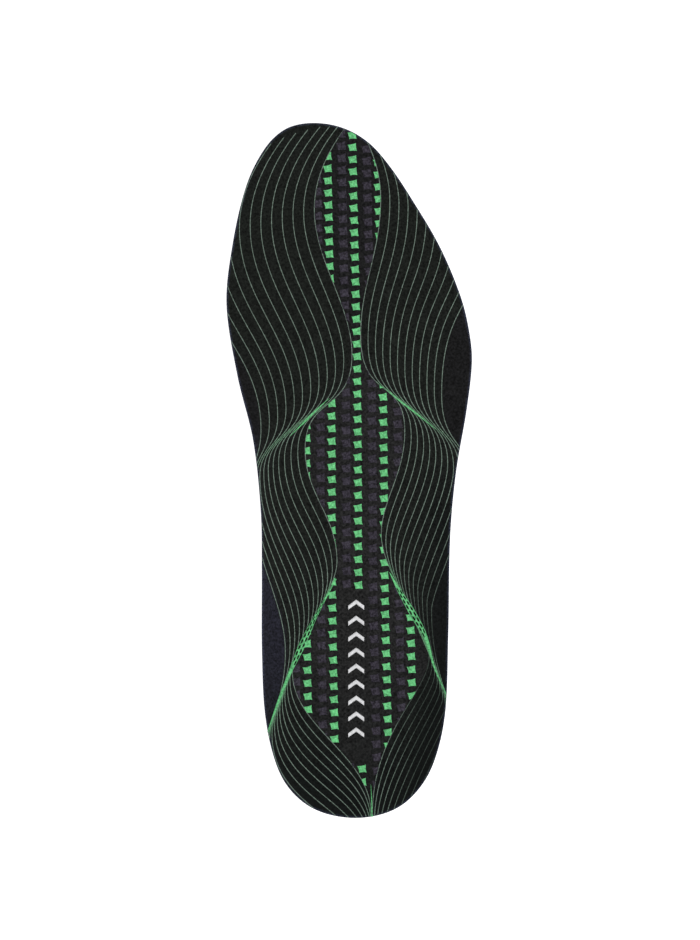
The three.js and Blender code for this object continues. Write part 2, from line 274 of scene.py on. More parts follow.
def plan_rows():
    """Each row's two ends on the outline and its centre: (medial, centre, lateral)."""
    heel_y = heel_row_y()
    strand_y = np.linspace(HEEL_CENTRE[1], TOE_CENTRE[1], STRAND_ROWS)
    toe_y = TOE_CENTRE[1] + (HALF_LENGTH - TOE_CENTRE[1]) * np.cos(FAN_ANGLES)[::-1]
    y = np.concatenate([heel_y, strand_y, toe_y])
    medial = np.column_stack([medial_edge(y), y])
    lateral = np.column_stack([lateral_edge(y), y])
    centre = (medial + lateral) / 2
    centre[: FAN_ROWS + 1] = HEEL_CENTRE
    centre[-FAN_ROWS - 1 :] = TOE_CENTRE
    return medial, centre, lateral


def across(ends, centre, inset):
    """Points from each row's end to its centre, close together at the edge: rows x samples x 2."""
    to_centre = centre - ends
    length = np.linalg.norm(to_centre, axis=1)[:, None]
    near = inset + EDGE_SAMPLES[None] * (1 - inset / length)
    last = near[:, -1:]
    far = last + (length - last) * np.linspace(0, 1, INNER_STEPS + 1)[None, 1:]
    share = np.hstack([near, far]) / length
    return ends[:, None] + to_centre[:, None] * share[..., None]


def layer(name, top, bottom, inset, top_radius, bottom_radius, bulge, zones=None):
    """A full-length layer between two of Plan's surfaces, with rounded and slightly bulging edges.

    zones gives the attributes of plan points, for a layer that has them.
    """
    medial, centre, lateral = plan_rows()
    from_medial = across(medial, centre, inset)
    from_lateral = across(lateral, centre, inset)
    sheet = np.concatenate([from_medial, from_lateral[:, ::-1][:, 1:]], axis=1)
    rows, width = sheet.shape[:2]
    plan = Plan(sheet)
    edge = np.maximum(plan.edge_distance - inset, 0)
    top_z = (getattr(plan, top) - quarter_drop(edge, top_radius)).reshape(rows, width)
    bottom_z = (getattr(plan, bottom) + quarter_drop(edge, bottom_radius)).reshape(rows, width)
    upper = np.dstack([sheet, top_z])
    lower = np.dstack([sheet, bottom_z])

    def wall(column, ends):
        """The points between the two surfaces along one edge, from the upper one down."""
        line = np.gradient(ends, axis=0)
        outward = np.column_stack([line[:, 1], -line[:, 0]])
        outward *= np.sign((outward * (ends - centre)).sum(1))[:, None]
        outward[[0, -1]] = (0, -1), (0, 1)
        outward /= np.linalg.norm(outward, axis=1)[:, None]
        s = np.linspace(0, 1, WALL_SAMPLES + 2)[1:-1, None]
        between = upper[:, column, None] * (1 - s) + lower[:, column, None] * s
        between[..., :2] += outward[:, None] * (bulge * np.sin(math.pi * s))
        return between

    lateral_wall = wall(width - 1, lateral)
    medial_wall = wall(0, medial)[:, ::-1]
    loops = np.concatenate([upper, lateral_wall, lower[:, ::-1], medial_wall], axis=1)
    numbers = np.arange(loops.shape[0] * loops.shape[1]).reshape(loops.shape[:2])
    vertices = loops.reshape(-1, 3)
    return new_piece(name, vertices, loft(numbers), zones(vertices[:, :2]) if zones else None)


# ------------------------------------------------------------------ recesses in the foam base

# The inserts under the foot, as in the model: plan outlines, and how thick each insert is.
CLEARANCE = 0.3
RECESS_DEPTH_BELOW = 2.0
RECESS_RINGS = 24
RECESS_RING_POWER = 1.5
SHARP_EDGE = math.radians(40)
SHELL_THICKNESS = 1.6
SHELL_INSET = 4.5
SHELL_FRONT_MEDIAL_Y = 14.0
SHELL_FRONT_LATERAL_Y = -14.0
SHELL_FRONT_DIP = 26.0
SHELL_FRONT_REACH = 0.3
SHELL_STEPS = 24
SHELL_MIDDLE = (2.3, -60.0)
HEEL_PAD = {"centre": (2.3, -99.0), "radii": (17.0, 23.0), "squareness": 2.0, "lean": 0.0}
BALL_PAD = {
    "centre": (0.5, 30.0), "radii": (37.0, 19.0), "squareness": 2.6, "lean": -math.tan(FLEX_ANGLE),
}
HEEL_PAD_THICKNESS = 3.6
BALL_PAD_THICKNESS = 1.5
OUTLINE_POINTS = 72


def pad_outline(centre, radii, squareness, lean):
    """The plan outline of a gel pad's recess."""
    angle = np.linspace(0, 2 * math.pi, OUTLINE_POINTS, endpoint=False)
    x, y = (np.sign(wave) * np.abs(wave) ** (2 / squareness) for wave in (np.cos(angle), np.sin(angle)))
    across_x = centre[0] + (radii[0] + CLEARANCE) * x
    return np.column_stack([across_x, centre[1] + (radii[1] + CLEARANCE) * y + lean * across_x])


def shell_outline():
    """The plan outline of the arch shell's recess: round the heel inside the rim, with two arms in front."""
    inset = SHELL_INSET - CLEARANCE

    def arm(ends, front_y):
        """One side of the outline, from the back of the heel to the tip of its arm."""
        y = np.concatenate([heel_row_y()[1:], np.linspace(HEEL_CENTRE[1], front_y + CLEARANCE, SHELL_STEPS)])
        row_ends = np.column_stack([ends(y), y])
        middle = np.column_stack([(medial_edge(y) + lateral_edge(y)) / 2, y])
        middle[y <= HEEL_CENTRE[1]] = HEEL_CENTRE
        to_middle = middle - row_ends
        return row_ends + to_middle * inset / np.linalg.norm(to_middle, axis=1)[:, None]

    lateral = arm(lateral_edge, SHELL_FRONT_LATERAL_Y)
    medial = arm(medial_edge, SHELL_FRONT_MEDIAL_Y)
    dip = np.array([0.0, -SHELL_FRONT_DIP])
    start, end = lateral[-1], medial[-1]
    reach = (end - start) * SHELL_FRONT_REACH
    front = bezier(start, start + reach + dip, end - reach + dip, end, SHELL_STEPS)[1:-1]
    back = np.array([[medial_edge(-HALF_LENGTH), -HALF_LENGTH + inset]])
    return np.concatenate([back, lateral, front, medial[::-1]])


def recess_cutter(outline, middle, thickness):
    """A closed solid over an outline, from below the underside up to an insert's room."""
    shares = 1 - np.linspace(0, 1, RECESS_RINGS) ** RECESS_RING_POWER
    rings = [np.asarray(middle) + (outline - middle) * share for share in shares]
    flat = np.concatenate(rings)
    underside = Plan(flat).underside
    vertices = np.concatenate([
        np.column_stack([flat, underside + thickness + CLEARANCE]),
        np.column_stack([flat, np.full(len(flat), -RECESS_DEPTH_BELOW)]),
    ])
    upper = np.arange(len(flat)).reshape(RECESS_RINGS, -1)
    lower = upper + len(flat)
    faces = loft(upper) + flipped(loft(lower)) + loft(np.stack([lower[0], upper[0]]))
    return new_piece("recess_cutter", vertices, faces)


def cut_recesses(base):
    """Cuts the room for the shell and the pads out of the foam base."""
    cutters = [
        recess_cutter(shell_outline(), SHELL_MIDDLE, SHELL_THICKNESS),
        recess_cutter(pad_outline(**HEEL_PAD), HEEL_PAD["centre"], HEEL_PAD_THICKNESS),
        recess_cutter(pad_outline(**BALL_PAD), BALL_PAD["centre"], BALL_PAD_THICKNESS),
    ]
    for cutter in cutters:
        modifier = base.modifiers.new("recess", "BOOLEAN")
        modifier.operation = "DIFFERENCE"
        modifier.solver = "MANIFOLD"
        modifier.object = cutter
    whole = base.data
    evaluated = base.evaluated_get(bpy.context.evaluated_depsgraph_get())
    base.data = bpy.data.meshes.new_from_object(evaluated)
    base.data.name = base.name
    base.modifiers.clear()
    bpy.data.meshes.remove(whole)
    for cutter in cutters:
        mesh = cutter.data
        bpy.data.objects.remove(cutter)
        bpy.data.meshes.remove(mesh)
    # The cutters leave empty material slots behind, which would hide the base's own material.
    base.data.materials.clear()
    base.data.polygons.foreach_set("material_index", [0] * len(base.data.polygons))
    base.data.set_sharp_from_angle(angle=SHARP_EDGE)
    return base


# ------------------------------------------------------------------ printed pattern

LINE_COUNT = 12
LINE_WIDTH = 0.3
LINE_STEP = 1.0
LINE_EDGE_GAP = 0.25
SHORTEST_RUN = 1.0
TOE_POINTS = 40

# Each side's lines blend evenly from the innermost to the outermost. The first lines have their own
# starts (x, y) at the toe, and the others start beside them. An anchor is where a line runs straight
# along Y: (x, y) of the innermost line, the step to the next line, and the change in that step. The
# handles are how far the curve keeps that direction at each of its two ends: a share of the way to the
# next anchor, and the change in that share from line to line. Round the heel they are lengths.
MEDIAL_LINES = {
    "start": [(-2.0, 137.4), (-4.6, 138.5), (-7.9, 138.5), (-11.7, 138.4), (-16.7, 137.2), (-21.6, 135.8),
              (-26.3, 134.2), (-31.6, 131.5)],
    "anchors": [
        ((-14.1, 105.0), (-4.32, -1.06), (0, 0)),
        ((1.1, 46.5), (-3.33, -2.8), (0, 0)),
        ((-17.8, 8.3), (-2.96, -1.35), (0.2, 0)),
        ((-4.95, -37.0), (-1.89, -3.3), (0, 0)),
        ((-22.9, -81.7), (-1.02, -3.05), (0, 0)),
        ((8.8, -139.0), (-0.13, -2.8), (0, 0)),
    ],
    "handles": [
        ((0.35, 0.01), (0.33, 0.008)),
        ((0.62, -0.014), (0.57, -0.014)),
        ((0.41, 0.001), (0.41, -0.01)),
        ((0.27, 0.02), (0.23, 0.005)),
    ],
    "heel_handles": ((22.5, 1.15), (23.9, -0.47)),
}
LATERAL_LINES = {
    "start": [(6.8, 133.2), (9.6, 133.0), (13.2, 130.0), (17.0, 126.0)],
    "anchors": [
        ((12.7, 109.4), (3.68, -1.16), (0, 0)),
        ((4.6, 54.2), (2.97, -2.2), (0, 0)),
        ((22.4, 15.5), (2.56, -1.87), (-0.03, 0)),
        ((12.9, -26.0), (1.84, -2.79), (0, 0)),
        ((32.2, -75.6), (1.08, -3.3), (0, 0)),
        ((9.3, -139.0), (0.7, -4.4), (0, 0)),
    ],
    "handles": [
        ((0.4, 0.009), (0.38, 0.018)),
        ((0.69, -0.008), (0.576, -0.008)),
        ((0.42, -0.019), (0.32, -0.015)),
        ((0.33, 0.018), (0.27, 0.0)),
    ],
    "heel_handles": ((13.5, -1.66), (33.2, -1.43)),
}


def stepped(anchor, k):
    """The k-th line's point at an anchor."""
    (x, y), (step_x, step_y), (change_x, change_y) = anchor
    return np.array([
        x + step_x * k + change_x * k * (k - 1) / 2,
        y + step_y * k + change_y * k * (k - 1) / 2,
    ])


def wave_line(side, k):
    """The k-th line of a side, as points from the toe to the heel."""
    anchors = [stepped(anchor, k) for anchor in side["anchors"]]
    starts = side["start"]
    if k < len(starts):
        start = np.array(starts[k])
    else:
        start = anchors[0] + (np.array(starts[-1]) - stepped(side["anchors"][0], len(starts) - 1))
    t = np.linspace(0, 1, TOE_POINTS)[:-1, None]
    toe_part = anchors[0] + (start - anchors[0]) * np.hstack([(1 - t) ** 2, 1 - t])
    parts = [toe_part]
    down = np.array([0.0, -1.0])
    for i, (here, there) in enumerate(zip(anchors, anchors[1:])):
        drop = here[1] - there[1]
        if i < len(side["handles"]):
            reach = [drop * (share + change * k) for share, change in side["handles"][i]]
        else:
            reach = [length + change * k for length, change in side["heel_handles"]]
        steps = int(abs(drop) / LINE_STEP) + 1
        parts.append(bezier(here, here + down * reach[0], there - down * reach[1], there, steps)[:-1])
    parts.append(anchors[-1][None])
    return np.concatenate(parts)


def runs_inside(path, gap):
    """The stretches of a path that lie inside the outline, cut where they cross it."""
    plan = Plan(path)
    depth = np.where(plan.inside(), plan.edge_distance, -plan.edge_distance) - gap
    runs, current = [], []
    for i, point in enumerate(path):
        if i and (depth[i] > 0) != (depth[i - 1] > 0):
            s = depth[i - 1] / (depth[i - 1] - depth[i])
            current.append(path[i - 1] + (point - path[i - 1]) * s)
            if depth[i] <= 0:
                runs.append(np.array(current))
                current = []
        if depth[i] > 0:
            current.append(point)
    if len(current) > 1:
        runs.append(np.array(current))
    return [run for run in runs if np.linalg.norm(np.diff(run, axis=0), axis=1).sum() > SHORTEST_RUN]


def beside(path):
    """A unit vector to the left of each point of a path."""
    direction = np.gradient(path, axis=0)
    direction /= np.linalg.norm(direction, axis=1)[:, None]
    return np.column_stack([-direction[:, 1], direction[:, 0]])


def ribbon(path, width, height=INK_HEIGHT):
    """A closed printed strip along a path, of one width or a width at each point: vertices and faces."""
    half = beside(path) * np.reshape(np.asarray(width, float) / 2, (-1, 1))
    right, left = path - half, path + half
    right_top, left_top = Plan(right).top, Plan(left).top
    vertices, faces = bar(np.stack([
        np.column_stack([right, right_top - INK_SINK]),
        np.column_stack([right, right_top + height]),
        np.column_stack([left, left_top + height]),
        np.column_stack([left, left_top - INK_SINK]),
    ], axis=1))
    return vertices, flipped(faces)


def join(parts):
    """One list of vertices and faces from many."""
    vertices, faces, count = [], [], 0
    for part_vertices, part_faces in parts:
        vertices.append(part_vertices)
        faces += [[i + count for i in face] for face in part_faces]
        count += len(part_vertices)
    return np.concatenate(vertices), faces


medial_waves = [wave_line(MEDIAL_LINES, k) for k in range(LINE_COUNT)]
lateral_waves = [wave_line(LATERAL_LINES, k) for k in range(LINE_COUNT)]

# Ramps, as (start, run): lines count as bunched below a spacing, and get painted shade towards the heel's
# outer side.
BUNCHED_SPACING = (1.0, -0.8)
BUNCHED_TINT = 0.5
LINE_SHADE_X = (12.0, 16.0)
LINE_SHADE_Y = (-15.0, -50.0)


def print_lines():
    """All the wave lines: greener where they bunch together, with painted shade on the outer side of the
    heel.
    """
    strips, bunched, faint = [], [], []
    for waves in (medial_waves, lateral_waves):
        for k, path in enumerate(waves):
            neighbours = [waves[n] for n in (k - 1, k + 1) if 0 <= n < LINE_COUNT]
            for run in runs_inside(path, LINE_EDGE_GAP):
                spacing = np.min([distance_to(run, other)[0] for other in neighbours], axis=0)
                share = ramp(spacing, *BUNCHED_SPACING)
                line_shading = ramp(run[:, 0], *LINE_SHADE_X) * ramp(run[:, 1], *LINE_SHADE_Y) * (1 - share)
                strips.append(ribbon(run, LINE_WIDTH))
                bunched.append(np.repeat(BUNCHED_TINT * share, BAR_CORNERS))
                faint.append(np.repeat(line_shading, BAR_CORNERS))
    looks = {"bunched": np.concatenate(bunched), "faint": np.concatenate(faint)}
    return new_piece("wave_line_print", *join(strips), looks)


# Bright bands where the lines run into each other: the middle of each band and its width, (x, y, width).
BANDS = [
    [(-8.0, 28.8, 0.1), (-12.0, 25.2, 0.4), (-17.5, 19.8, 0.8), (-21.0, 16.3, 0.35), (-24.0, 13.4, 0.1)],
    [(-5.2, -44.0, 0.2), (-13.6, -59.3, 1.3), (-19.0, -70.7, 2.6), (-23.8, -81.6, 1.4), (-28.6, -93.5, 0.9),
     (-32.8, -105.5, 0.3)],
    [(15.0, 32.3, 0.1), (20.0, 28.0, 0.45), (26.0, 23.4, 0.6), (31.0, 19.4, 0.3), (35.0, 16.2, 0.1)],
    [(16.2, -41.4, 0.2), (20.3, -49.1, 1.5), (26.0, -58.7, 2.6), (30.6, -67.3, 1.7), (34.4, -80.0, 0.6),
     (38.9, -90.2, 0.3)],
    [(8.7, -127.0, 0.1), (9.0, -133.0, 0.35), (9.2, -139.4, 0.7)],
]
BAND_HEIGHT = 0.065
BAND_STEP = 0.6

# Two of the bands look plaited: short dark gaps in two staggered rows, from one place along the band to
# another.
PLAIT_STRETCHES = {1: (10.5, 38.5), 3: (8.0, 29.5)}
GAP_PITCH = 2.6
GAP_LENGTH = 2.1
GAP_WIDTH = 0.72
GAP_WIDTH_SHARE = 0.3
GAP_BLUNTNESS = 1.02
GAP_OFFSET = 0.24
GAP_HEIGHT = 0.13
GAP_POINTS = 7


def curve_through(points, step):
    """A smooth path through points given as rows, at about equal steps along it, and the way along."""
    points = np.array(points, float)
    along = np.concatenate([[0], np.cumsum(np.linalg.norm(np.diff(points[:, :2], axis=0), axis=1))])
    t = np.linspace(0, along[-1], int(along[-1] / step) + 2)
    columns = [smooth_through(list(zip(along, column)))(t) for column in points.T]
    return np.column_stack(columns), t


def print_bands():
    """The bright bands."""
    strips = []
    for band in BANDS:
        path, _ = curve_through(band, BAND_STEP)
        strips.append(ribbon(path[:, :2], path[:, 2], BAND_HEIGHT))
    return new_piece("wave_band_print", *join(strips))


def print_plait_gaps():
    """The dark gaps in the plaited bands, each one a thin lens shape across its row."""
    strips = []
    s = np.linspace(-1, 1, GAP_POINTS)
    for number, (first, last) in PLAIT_STRETCHES.items():
        path, along = curve_through(BANDS[number], BAND_STEP)
        side = beside(path[:, :2])
        for row, sign in enumerate((-1, 1)):
            line = path[:, :2] + side * (sign * GAP_OFFSET * path[:, 2])[:, None]
            for place in np.arange(first + row * GAP_PITCH / 2, last, GAP_PITCH):
                at = place + s * GAP_LENGTH / 2
                x, y = (np.interp(at, along, column) for column in line.T)
                band_width = np.interp(place, along, path[:, 2])
                widest = min(GAP_WIDTH, band_width * GAP_WIDTH_SHARE)
                width = widest * np.sqrt(GAP_BLUNTNESS - s**2)
                strips.append(ribbon(np.column_stack([x, y]), width, GAP_HEIGHT))
    return new_piece("plait_gap_print", *join(strips))


# Squares stand in slanted rows and in columns. The middle column bends a little, (y, x); each column
# keeps its distance from the middle one, x = at + lean * y. Grey columns stand between the green ones.
FIRST_ROW_Y = 134.66
ROW_PITCH = 4.863
ROW_PITCH_GROWTH = 0.0096
ROW_COUNT = 52
ROW_SLANT = -0.12
ROW_SLANT_FROM_X = 3.4
MIDDLE_COLUMN = [
    (-120, 5.2), (-80, 4.35), (-46, 3.7), (0, 3.5), (45, 3.1), (90, 2.15), (134, 1.2),
]
COLUMNS = [(-31.9, 0.0), (-20.8, 0.006), (-10.55, 0.003), (0.0, 0.0), (10.45, -0.003), (20.8, 0.0)]
GREY_SHIFT = 0.6
GREY_COLUMNS = [
    ((a[0] + b[0]) / 2 + GREY_SHIFT, (a[1] + b[1]) / 2) for a, b in zip(COLUMNS, COLUMNS[1:])
]
SQUARE_CORNERS = np.array([(-1.95, 1.1), (1.45, 1.8), (1.8, -1.4), (-1.2, -1.53)])
SQUARE_SAG = 0.18
GREY_GROWTH = 1.12
SIDE_POINTS = 5
PATCH_RINGS = np.array([1.0, 0.7, 0.35, 0.0])
SMALLEST_PATCH = 0.5
SQUARE_EDGE_GAP = 0.5

# The white chevrons stand in the middle column of the heel, in a stretch without squares. The margins
# are how far beyond its toe end and its heel end the squares stay away.
MARK_TOP_Y = -51.0
MARK_BOTTOM_Y = -109.5
MARK_MARGINS = (2.0, 7.5)
MARK_HALF_WIDTH = 4.6
CHEVRON_COUNT = 9
CHEVRON_X = 2.8
CHEVRON_END_ROOM = 3.5
CHEVRON_HALF_WIDTH = 3.2
CHEVRON_RISE = 2.3
CHEVRON_STROKE = 1.7
CHEVRON_STEPS = 8

middle_column_x = smooth_through(MIDDLE_COLUMN)


def wave_x(path, y):
    """Where a wave line is, at a place along the length."""
    order = np.argsort(path[:, 1])
    return np.interp(y, path[order, 1], path[order, 0])


def keep_side(polygon, a, b):
    """The part of a polygon to the left of the line from a to b."""
    edge = b - a
    side = edge[0] * (polygon[:, 1] - a[1]) - edge[1] * (polygon[:, 0] - a[0])
    kept = []
    for i in range(len(polygon)):
        j = (i + 1) % len(polygon)
        if side[i] >= 0:
            kept.append(polygon[i])
        if (side[i] >= 0) != (side[j] >= 0):
            s = side[i] / (side[i] - side[j])
            kept.append(polygon[i] + (polygon[j] - polygon[i]) * s)
    return np.array(kept)


def polygon_area(polygon):
    """The area inside a polygon."""
    x, y = polygon.T
    return 0.5 * abs(np.dot(x, np.roll(y, -1)) - np.dot(y, np.roll(x, -1)))


def square_at(x, y, growth):
    """A printed square with slightly hollow sides, clockwise."""
    corners = SQUARE_CORNERS * growth
    points = []
    for a, b in zip(corners, np.roll(corners, -1, axis=0)):
        s = np.linspace(0, 1, SIDE_POINTS, endpoint=False)[:, None]
        inward = np.array([(b - a)[1], -(b - a)[0]])
        inward /= np.linalg.norm(inward)
        points.append(a + (b - a) * s + inward * SQUARE_SAG * 4 * s * (1 - s))
    return np.concatenate(points) + (x, y)


def clipped_to_lens(polygon):
    """The part of a polygon between the two innermost wave lines, and inside the edge."""
    ends = np.array([polygon[:, 1].min(), polygon[:, 1].max()])
    left = np.column_stack([wave_x(medial_waves[0], ends), ends])
    right = np.column_stack([wave_x(lateral_waves[0], ends), ends])
    rim = np.column_stack([lateral_edge(ends) - SQUARE_EDGE_GAP, ends])
    for a, b in ((left[1], left[0]), right, rim):
        if len(polygon):
            polygon = keep_side(polygon, a, b)
    return polygon


def patch(polygon):
    """A closed printed patch over a small convex polygon: vertices and faces."""
    centre = polygon.mean(axis=0)
    rings = [centre + (polygon - centre) * share for share in PATCH_RINGS]
    flat = np.concatenate(rings)
    top = Plan(flat).top
    vertices = np.concatenate([
        np.column_stack([flat, top + INK_HEIGHT]),
        np.column_stack([flat, top - INK_SINK]),
    ])
    upper = np.arange(len(flat)).reshape(len(PATCH_RINGS), -1)
    lower = upper + len(flat)
    faces = flipped(loft(upper)) + loft(lower) + loft(np.stack([upper[0], lower[0]]))
    return vertices, faces


def print_squares(name, columns, growth):
    """All the squares of some columns: those that the lens leaves too little of are left out."""
    patches = []
    for at, lean in columns:
        for row in range(ROW_COUNT):
            row_y = FIRST_ROW_Y - ROW_PITCH * row - ROW_PITCH_GROWTH * row**2 / 2
            x = float(middle_column_x(row_y)) + at + lean * row_y
            y = row_y + ROW_SLANT * (x - ROW_SLANT_FROM_X)
            by_mark = MARK_BOTTOM_Y - MARK_MARGINS[1] < y < MARK_TOP_Y + MARK_MARGINS[0]
            in_mark = by_mark and abs(x - CHEVRON_X) < MARK_HALF_WIDTH
            polygon = clipped_to_lens(square_at(x, y, growth))
            if in_mark or len(polygon) < 3 or polygon_area(polygon) < SMALLEST_PATCH:
                continue
            if Plan(polygon).inside().all():
                patches.append(patch(polygon))
    return new_piece(name, *join(patches))


# The cover's zones. A pair is a ramp along x or y, as (start, run); a share is how far a zone may go.
ZONE_BLUR = 1.5
LENS_ZONE_Y = (80.0, -50.0)
LENS_ZONE_LEAST = 0.3
# The arch's inner wall: the navy of the bare knit, with painted light where it faces the lamps.
ARCH_NAVY_AND_LIGHT_FRONT_Y = (20.0, -30.0)
ARCH_NAVY_AND_LIGHT_HEEL_Y = (-130.0, 40.0)
# Painted shade: darker towards the back of the heel, and on the outer wall, which faces away from the lamps.
HEEL_SHADE_Y = (-75.0, -60.0)
HEEL_SHADE_IN_LENS = 0.5
OUTER_WALL_SHADE_X = (24.0, 14.0)
OUTER_WALL_SHADE_Y = (10.0, -30.0)
OUTER_WALL_SHADE_SHARE = 0.8
EDGE_ZONE_WIDTH = 1.0
EDGE_ZONE_SHARE = 0.55


def cover_zones(points):
    """Each point's share, 0 to 1: print blacks, navy arch wall with painted light, painted shade, bluish
    edge.
    """
    x, y = points.T

    def beyond(line):
        """How far each point is on the outer side of a wave line."""
        return np.clip((x - wave_x(line, y)) / ZONE_BLUR + 0.5, 0, 1)

    lens = beyond(medial_waves[0]) * (1 - beyond(lateral_waves[0]))
    left = (1 - beyond(medial_waves[0])) * beyond(medial_waves[-1])
    right = beyond(lateral_waves[0]) * (1 - beyond(lateral_waves[-1]))
    # The arch wall's navy, with painted light on it.
    arch = (1 - beyond(medial_waves[-1])) * ramp(y, *ARCH_NAVY_AND_LIGHT_FRONT_Y) * ramp(y, *ARCH_NAVY_AND_LIGHT_HEEL_Y)
    # Painted shade on the outer wall and towards the back of the heel.
    outer_wall_shade = ramp(x, *OUTER_WALL_SHADE_X) * ramp(y, *OUTER_WALL_SHADE_Y)
    heel = np.clip(ramp(y, *HEEL_SHADE_Y) + outer_wall_shade * OUTER_WALL_SHADE_SHARE, 0, 1)
    edge = ramp(Plan(points).edge_distance, EDGE_ZONE_WIDTH, -EDGE_ZONE_WIDTH)
    return {
        "wave_zone": left + right,
        "lens_zone": lens * np.maximum(ramp(y, *LENS_ZONE_Y), LENS_ZONE_LEAST),
        "arch_navy_and_painted_light": arch,
        "heel_painted_shade": heel * (1 - HEEL_SHADE_IN_LENS * lens),
        "edge_zone": EDGE_ZONE_SHARE * edge,
    }


def chevron(x, y):
    """One closed chevron with its point towards the toe."""
    s = np.linspace(-1, 1, 2 * CHEVRON_STEPS + 1)
    crest = y + CHEVRON_RISE * (1 - np.abs(s)) - CHEVRON_RISE / 2
    along = x + CHEVRON_HALF_WIDTH * s
    front = np.column_stack([along, crest + CHEVRON_STROKE / 2])
    back = np.column_stack([along, crest - CHEVRON_STROKE / 2])
    front_top, back_top = Plan(front).top, Plan(back).top
    return bar(np.stack([
        np.column_stack([front, front_top + INK_HEIGHT]),
        np.column_stack([back, back_top + INK_HEIGHT]),
        np.column_stack([back, back_top - INK_SINK]),
        np.column_stack([front, front_top - INK_SINK]),
    ], axis=1))


def print_chevrons():
    """The white chevrons, one behind the other."""
    first_y = MARK_TOP_Y - CHEVRON_END_ROOM
    last_y = MARK_BOTTOM_Y + CHEVRON_END_ROOM
    places = np.linspace(first_y, last_y, CHEVRON_COUNT)
    return new_piece("chevron_print", *join([chevron(CHEVRON_X, y) for y in places]))


# ------------------------------------------------------------------ materials


def material(name, **inputs):
    """A new Principled material, with plain values set on the shader's own sockets."""
    made = bpy.data.materials.new(name)
    made.use_nodes = True
    shader = made.node_tree.nodes["Principled BSDF"]
    for key, value in inputs.items():
        shader.inputs[key.replace("_", " ")].default_value = value
    return made


def linear_level(value):
    """A level of 0 to 255 on screen, as linear light: the sRGB standard's own curve and numbers."""
    value /= 255
    return value / 12.92 if value <= 0.04045 else ((value + 0.055) / 1.055) ** 2.4


def srgb(red, green, blue):
    """A colour given as 0 to 255 on screen, as the linear colour that a shader takes."""
    return (linear_level(red), linear_level(green), linear_level(blue), 1.0)


def feed(tree, socket, value):
    """Links a node's output to a socket, or sets a plain value on it."""
    if isinstance(value, bpy.types.NodeSocket):
        tree.links.new(value, socket)
    else:
        socket.default_value = value


def add(tree, kind, operation=None, **inputs):
    """A node with its inputs set or linked: a key is a socket's name, or i and its number."""
    made = tree.nodes.new(kind)
    if operation:
        made.operation = operation
    for key, value in inputs.items():
        socket = made.inputs[int(key[1:])] if key[1:].isdigit() else made.inputs[key.replace("_", " ")]
        feed(tree, socket, value)
    return made


def math_node(tree, operation, *values):
    """The result of an operation on numbers."""
    return add(tree, "ShaderNodeMath", operation, **{f"i{n}": v for n, v in enumerate(values)}).outputs[0]


# The sockets that a mix node uses when it mixes colours: its factor, the two colours and the result.
MIX_COLOUR_INPUTS = (0, 6, 7)
MIX_COLOUR_OUTPUT = 2


def mix_colour(tree, factor, a, b):
    """A colour between two, as far as the factor says."""
    made = tree.nodes.new("ShaderNodeMix")
    made.data_type = "RGBA"
    for number, value in zip(MIX_COLOUR_INPUTS, (factor, a, b)):
        feed(tree, made.inputs[number], value)
    return made.outputs[MIX_COLOUR_OUTPUT]


def place_mm(tree):
    """The place on the piece, in mm."""
    coordinates = tree.nodes.new("ShaderNodeTexCoord").outputs["Object"]
    return add(tree, "ShaderNodeVectorMath", "SCALE", i0=coordinates, Scale=1 / MM).outputs[0]


def noise(tree, place, scale, detail, roughness=0.5):
    """Uneven levels of about 0 to 1; the scale is in patches for each mm."""
    inputs = {"Vector": place, "Scale": scale, "Detail": detail, "Roughness": roughness}
    return add(tree, "ShaderNodeTexNoise", **inputs).outputs[0]


# The knit's stitches, in mm: the width of a column and the height of a row. Then how far a stitch slants
# as a V, how flat it is across, and the share of its shadow that is given back as light all over.
KNIT_WALE = 0.62
KNIT_COURSE = 0.46
STITCH_SLANT = 2.4
STITCH_POWER = 0.6
SHADOW_OFFSET = 0.62

# The knit's unevenness, (scale, detail, roughness): broad clouds, and single fibres with their contrast.
CLOUD_SCALE = 0.12
KNIT_CLOUD = (CLOUD_SCALE, 5.0, 0.65)
KNIT_FIBRE = (1.1, 3.0, 0.75)
FIBRE_CONTRAST = 9.0
DARKEST_FIBRE = 0.1
KNIT_ROUGHNESS = 0.92
KNIT_BUMP_STRENGTH = 0.45
KNIT_BUMP_DEPTH = 0.12
FIBRE_IN_BUMP = 0.5

# The foams: how far the painted shade in the pores, and the clouds, reach below and above the plain colour.
PORE_SHADE_CONTRAST = 0.5
FOAM_CLOUD_CONTRAST = 0.4
FOAM_CLOUD_DETAIL = 6.0
FOAM_BUMP_STRENGTH = 0.5


def varied(tree, level, contrast):
    """A brightness round 1, from a level of 0 to 1."""
    return math_node(tree, "MULTIPLY_ADD", level, contrast, 1 - contrast / 2)


def knit_height(tree, place):
    """Small stacked V stitches in columns, 0 to 1."""
    parts = add(tree, "ShaderNodeSeparateXYZ", i0=place).outputs
    wale = math_node(tree, "MULTIPLY", parts[0], math.pi / KNIT_WALE)
    ridge = math_node(tree, "ABSOLUTE", math_node(tree, "SINE", wale))
    course = math_node(tree, "MULTIPLY", parts[1], 2 * math.pi / KNIT_COURSE)
    slanted = math_node(tree, "MULTIPLY_ADD", ridge, STITCH_SLANT, course)
    stitch = math_node(tree, "MULTIPLY_ADD", math_node(tree, "SINE", slanted), 0.5, 0.5)
    return math_node(tree, "MULTIPLY", stitch, math_node(tree, "POWER", ridge, STITCH_POWER))


